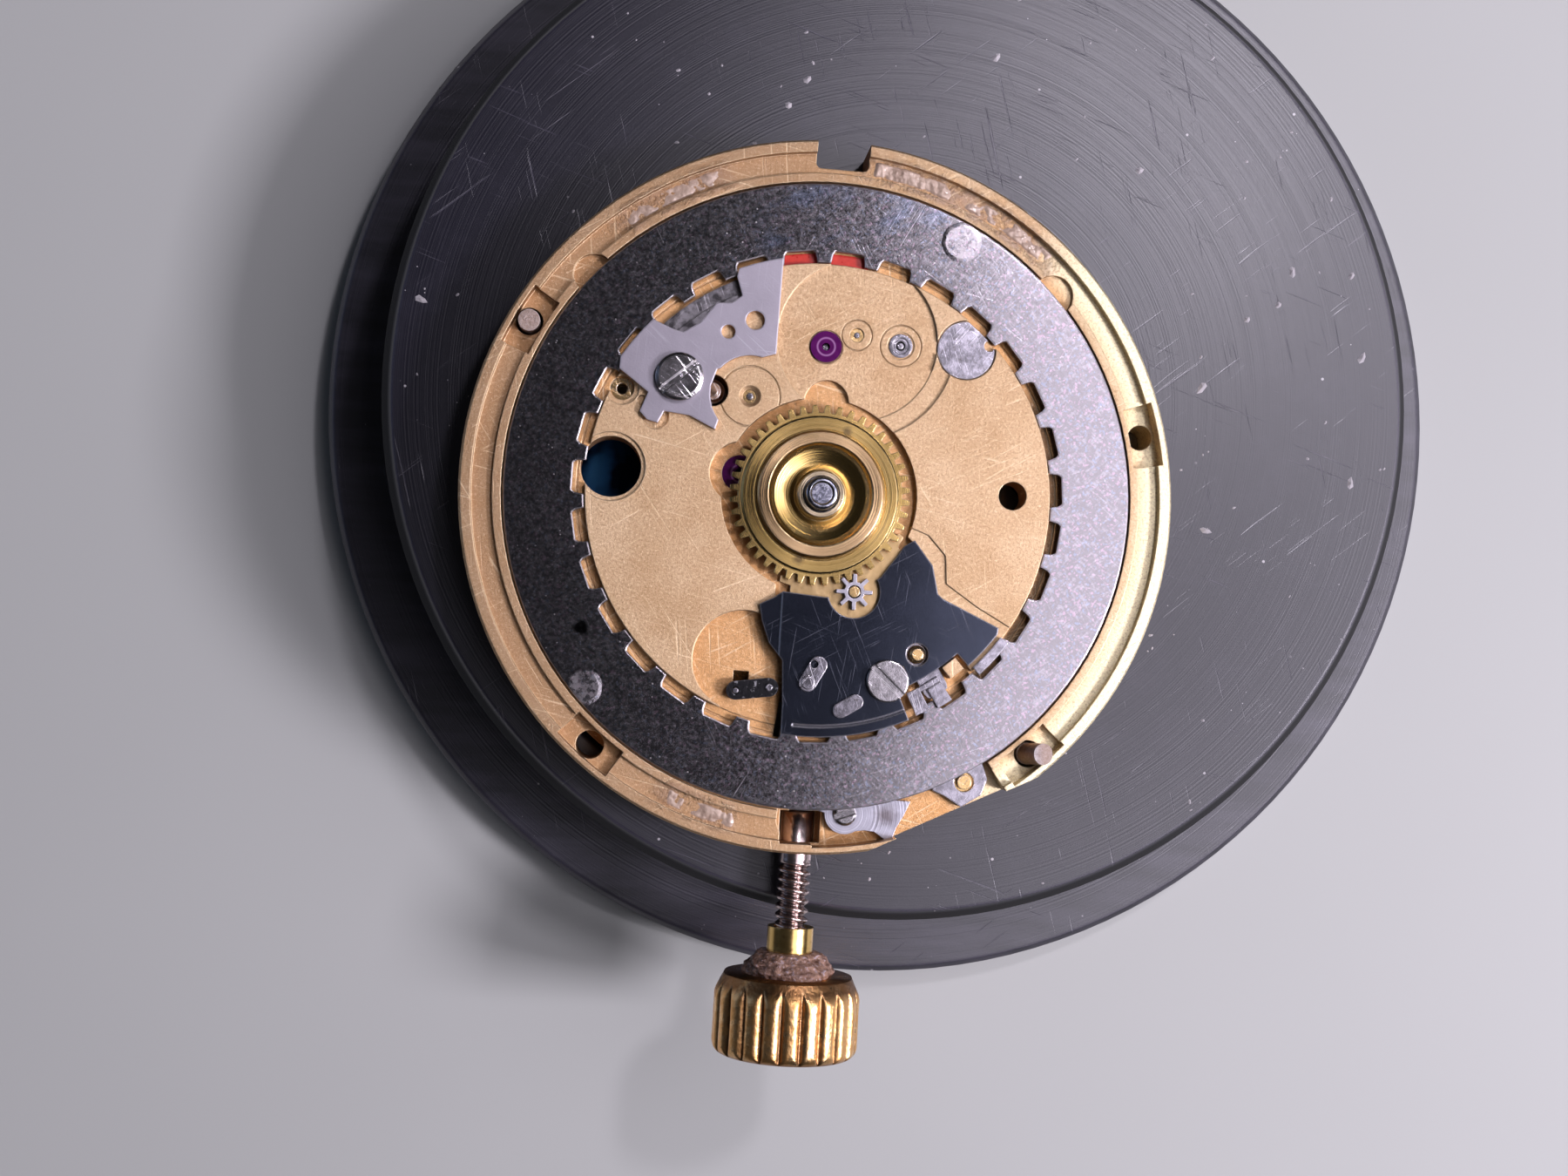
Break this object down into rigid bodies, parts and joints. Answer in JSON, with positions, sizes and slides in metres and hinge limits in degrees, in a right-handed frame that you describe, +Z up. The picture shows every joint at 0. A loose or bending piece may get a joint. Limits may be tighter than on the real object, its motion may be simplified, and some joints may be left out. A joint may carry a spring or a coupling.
{
  "type": "watch movement holder",
  "caption": "Turned black bench holder with an automatic watch movement seated dial side up, its date ring, motion work, stem and crown in place.",
  "frame": {"origin": "centre of the holder's underside, on the bench", "axes": "+Z up through the dial side of the movement; the winding stem and crown point along -Y"},
  "size_m": [0.0448, 0.0469, 0.0112],
  "materials": {
    "holder_black": "satin black, finely turned",
    "plate_gold": "fine-grained gilt",
    "ring_steel": "polished dark steel",
    "grey_plate": "matt lavender grey",
    "black_plate": "polished black",
    "steel": "bright steel",
    "screw_steel": "polished, scratched",
    "brass": "turned",
    "gilt_crown": "worn gilt",
    "jewel": "polished purple",
    "gasket": "perished, crusted",
    "lacquer_red": "red lacquer",
    "lever_black": "black, edges worn",
    "stub_grey": "dull grey",
    "bridge_nickel": "nickel-plated"
  },
  "bodies": {
    "holder": {"holder_body": "holder_black"},
    "movement": {"main_plate": "plate_gold", "date_retaining_plate": "grey_plate", "retaining_plate_screw": "screw_steel", "jumper_plate": "black_plate", "jumper_plate_screw": "screw_steel", "jumper_plate_post": "brass", "jumper_bolt": "steel", "jumper_plate_rim": "steel", "corrector_post": "steel", "balance_end_piece": "steel", "pivot_jewels": "jewel", "brass_bushes": "brass", "bush_ring": "steel", "pivot_ends": "steel", "plate_stud": "steel", "date_ring_guard": "ring_steel", "banking_block": "plate_gold", "red_strip": "lacquer_red", "dial_foot_stubs": "stub_grey", "centre_tube": "brass", "minute_wheel_post": "brass", "setting_lever_screw": "screw_steel", "lever_bracket": "steel", "bracket_pin": "brass", "balance_cock": "bridge_nickel", "barrel_arbor": "steel", "train_bridge": "bridge_nickel", "bridge_screws": "screw_steel", "rotor_bearing": "steel"},
    "date_ring": {"date_ring": "ring_steel"},
    "date_jumper": {"date_jumper": "steel"},
    "corrector_lever": {"corrector_lever": "lever_black", "corrector_pin": "steel"},
    "hour_wheel": {"hour_wheel": "brass"},
    "cannon_pinion": {"cannon_pinion": "steel"},
    "minute_wheel": {"minute_wheel": "steel"},
    "setting_lever": {"setting_lever": "steel"},
    "clutch": {"clutch_wheel": "steel", "winding_pinion": "steel"},
    "stem": {"stem": "steel", "stem_collar": "gilt_crown", "crown_gasket": "gasket", "crown": "gilt_crown"},
    "seconds_wheel": {"seconds_wheel": "brass"},
    "escape_wheel": {"escape_wheel": "steel"},
    "pallet_fork": {"pallet_fork": "steel"},
    "balance": {"balance_wheel": "brass"},
    "barrel": {"mainspring_barrel": "brass"},
    "rotor": {"rotor": "bridge_nickel"}
  },
  "joints": [
    {"name": "movement_lift", "type": "slide", "parent": "holder", "child": "movement", "axis": [0, 0, 1], "range_m": [0, 0.012]},
    {"name": "date_ring_turn", "type": "hinge", "parent": "movement", "child": "date_ring", "pos_m": [-0.00325, -0.004, 0.0101], "axis": [0, 0, 1], "continuous": true},
    {"name": "date_jumper_swing", "type": "hinge", "parent": "movement", "child": "date_jumper", "pos_m": [0.00063, -0.00956, 0.0101], "axis": [0, 0, 1], "range_deg": [-1.5, 1.5], "stiffness_Nm_per_rad": 0.0001},
    {"name": "corrector_swing", "type": "hinge", "parent": "movement", "child": "corrector_lever", "pos_m": [-0.00587, -0.01123, 0.0101], "axis": [0, 0, 1], "range_deg": [-4, 4], "stiffness_Nm_per_rad": 0.0001},
    {"name": "hour_turn", "type": "hinge", "parent": "movement", "child": "hour_wheel", "pos_m": [-0.00325, -0.004, 0.0101], "axis": [0, 0, 1], "continuous": true},
    {"name": "minute_hand_turn", "type": "hinge", "parent": "movement", "child": "cannon_pinion", "pos_m": [-0.00325, -0.004, 0.0101], "axis": [0, 0, 1], "continuous": true},
    {"name": "minute_wheel_turn", "type": "hinge", "parent": "movement", "child": "minute_wheel", "pos_m": [-0.0018, -0.00743, 0.0101], "axis": [0, 0, 1], "continuous": true},
    {"name": "crown_turn", "type": "hinge", "parent": "movement", "child": "clutch", "pos_m": [-0.00325, -0.013, 0.0085], "axis": [0, -1, 0], "continuous": true},
    {"name": "crown_pull", "type": "slide", "parent": "clutch", "child": "stem", "axis": [0, -1, 0], "range_m": [0, 0.0004]},
    {"name": "setting_lever_swing", "type": "hinge", "parent": "movement", "child": "setting_lever", "pos_m": [-0.0016, -0.01551, 0.0101], "axis": [0, 0, 1], "range_deg": [0, 19.1]},
    {"name": "seconds_turn", "type": "hinge", "parent": "movement", "child": "seconds_wheel", "pos_m": [-0.00325, -0.004, 0.0101], "axis": [0, 0, 1], "continuous": true},
    {"name": "escape_turn", "type": "hinge", "parent": "movement", "child": "escape_wheel", "pos_m": [-0.00331, 0.00145, 0.0101], "axis": [0, 0, 1], "continuous": true},
    {"name": "pallet_swing", "type": "hinge", "parent": "movement", "child": "pallet_fork", "pos_m": [-0.00057, 0.00168, 0.0101], "axis": [0, 0, 1], "range_deg": [-6, 6]},
    {"name": "balance_swing", "type": "hinge", "parent": "movement", "child": "balance", "pos_m": [0.00184, 0.00167, 0.0101], "axis": [0, 0, 1], "range_deg": [-270, 270], "stiffness_Nm_per_rad": 0.000001},
    {"name": "barrel_turn", "type": "hinge", "parent": "movement", "child": "barrel", "pos_m": [-0.00845, -0.0092, 0.0101], "axis": [0, 0, 1], "continuous": true},
    {"name": "rotor_turn", "type": "hinge", "parent": "movement", "child": "rotor", "pos_m": [-0.00325, -0.004, 0.0101], "axis": [0, 0, 1], "continuous": true}
  ],
  "couplings": [
    {"joint": "minute_hand_turn", "follows": "minute_wheel_turn", "ratio": -2.1818},
    {"joint": "hour_turn", "follows": "minute_wheel_turn", "ratio": -0.18182},
    {"joint": "seconds_turn", "follows": "escape_turn", "ratio": -0.1},
    {"joint": "setting_lever_swing", "follows": "crown_pull", "rad_per_m": 833}
  ]
}
